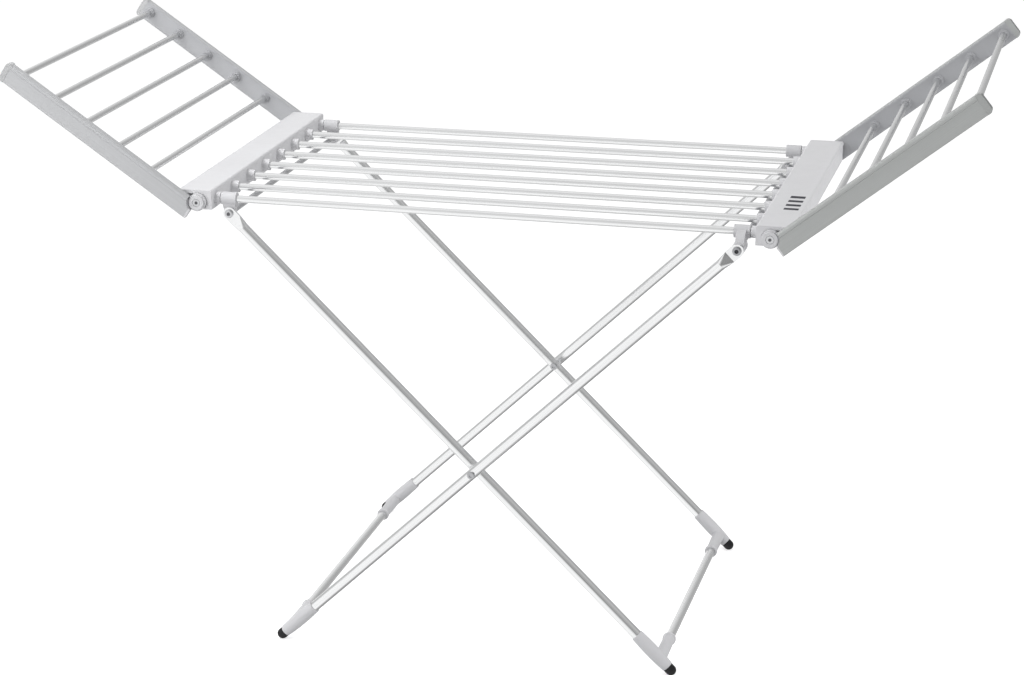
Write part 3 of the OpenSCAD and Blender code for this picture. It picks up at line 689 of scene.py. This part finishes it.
def floor():
    """A plain pale floor that keeps the soft shadow of the dryer."""
    mesh = bmesh.new()
    bmesh.ops.create_circle(mesh, cap_ends=True, segments=96, radius=FLOOR_R)
    paint = Material("floor_paint")
    paint.shader({"Roughness": 0.9, "Specular IOR Level": 0.0, "Base Color": FLOOR})
    path = paint.add("ShaderNodeLightPath").outputs
    glow = paint.add("ShaderNodeEmission")
    paint.put(WHITE, glow.inputs["Color"])
    paint.put(paint.calc("MULTIPLY", path["Is Camera Ray"], FLOOR_GLOW),
              glow.inputs["Strength"])
    both = paint.add("ShaderNodeAddShader")
    paint.link(paint.bsdf.outputs[0], both.inputs[0])
    paint.link(glow.outputs[0], both.inputs[1])
    clear = paint.add("ShaderNodeBsdfTransparent")
    seen = paint.either(path["Is Glossy Ray"], both.outputs[0], clear.outputs[0])
    paint.link(seen, paint.surface)
    obj = make_object("floor", mesh, paint.material)


def studio():
    """The world: plain light for matt surfaces, the studio for metal, white for the camera."""
    world = bpy.data.worlds.new("studio")
    bpy.context.scene.world = world
    world.use_nodes = True
    room = Nodes(world.node_tree, "Generated")

    def patch(direction, start, end, first, last):
        closeness = room.agree(room.place, Vector(direction).normalized())
        return room.ramp(closeness, start, end, first, last)

    def background(strength):
        node = room.add("ShaderNodeBackground")
        room.put(WHITE, node.inputs["Color"])
        room.put(strength, node.inputs["Strength"])
        return node.outputs[0]

    ray = room.split(room.place)
    sides = room.calc("MULTIPLY", patch(*UNDER), patch(*FAR_LEFT))
    front = room.calc("MULTIPLY", patch(*CORNER), patch(*LOW_FRONT))
    back = room.calc("MULTIPLY", room.ramp(ray["X"], *BACK_FALL), patch(*STRAIGHT_BACK))
    mirrored = room.add("ShaderNodeMix")
    room.link(room.ramp(ray["Y"], *FRONT_TO_BACK, kind="SMOOTHSTEP"),
              mirrored.inputs["Factor"])
    room.link(room.calc("MULTIPLY", front, sides), mirrored.inputs["A"])
    room.link(room.calc("MULTIPLY", back, sides), mirrored.inputs["B"])
    path = room.add("ShaderNodeLightPath").outputs
    shiny = room.calc("MAXIMUM", path["Is Glossy Ray"], path["Is Transmission Ray"])
    lit = room.either(shiny, background(MATT_LIGHT), background(mirrored.outputs[0]))
    seen = room.either(path["Is Camera Ray"], lit, background(1.0))
    room.link(seen, room.add("ShaderNodeOutputWorld").inputs["Surface"])


def lamp(name, place, aim, size, power):
    light = bpy.data.lights.new(name, "AREA")
    light.shape = "RECTANGLE"
    light.size = size[0]
    light.size_y = size[1]
    light.energy = power
    obj = bpy.data.objects.new(name, light)
    bpy.context.scene.collection.objects.link(obj)
    obj.location = place
    obj.rotation_mode = "QUATERNION"
    obj.rotation_quaternion = (Vector(aim) - Vector(place)).to_track_quat("-Z", "Y")
    obj.visible_glossy = False


floor()
studio()
for row in LAMPS:
    lamp(*row)

# Camera: directions in degrees, lengths in metres, the lens in pixels of the photograph
PHOTO_WIDTH = 1024.0
PHOTO_HEIGHT = 675.0
SENSOR = 36.0            # millimetres, as Blender has it
AZIMUTH = -17.51
HEIGHT = 17.85
ROLL = -0.717
DISTANCE = 4.12
AIM = Vector((-0.3061, 0.0, 0.29435))
FOCAL = 2730.0
CENTRE_X = 320.0         # where the lens looks straight ahead
CENTRE_Y = 387.5


def camera():
    """The photograph's camera, from its fitted direction, distance and lens."""
    azimuth = math.radians(AZIMUTH)
    height = math.radians(HEIGHT)
    roll = math.radians(ROLL)
    forward = Vector((math.sin(azimuth) * math.cos(height),
                      math.cos(azimuth) * math.cos(height), -math.sin(height)))
    level = forward.cross(Vector((0, 0, 1))).normalized()
    upright = level.cross(forward)
    right = level * math.cos(roll) + upright * math.sin(roll)
    up = upright * math.cos(roll) - level * math.sin(roll)
    data = bpy.data.cameras.new("camera")
    data.sensor_width = SENSOR
    data.lens = FOCAL * SENSOR / PHOTO_WIDTH
    data.shift_x = (PHOTO_WIDTH / 2 - CENTRE_X) / PHOTO_WIDTH
    data.shift_y = (CENTRE_Y - PHOTO_HEIGHT / 2) / PHOTO_WIDTH
    data.clip_start = 0.1
    data.clip_end = 60.0
    obj = bpy.data.objects.new("camera", data)
    bpy.context.scene.collection.objects.link(obj)
    turn = Matrix((right, up, -forward)).transposed().to_4x4()
    obj.matrix_world = Matrix.Translation(AIM - forward * DISTANCE) @ turn
    bpy.context.scene.camera = obj


camera()
bpy.context.scene.view_settings.view_transform = "Standard"
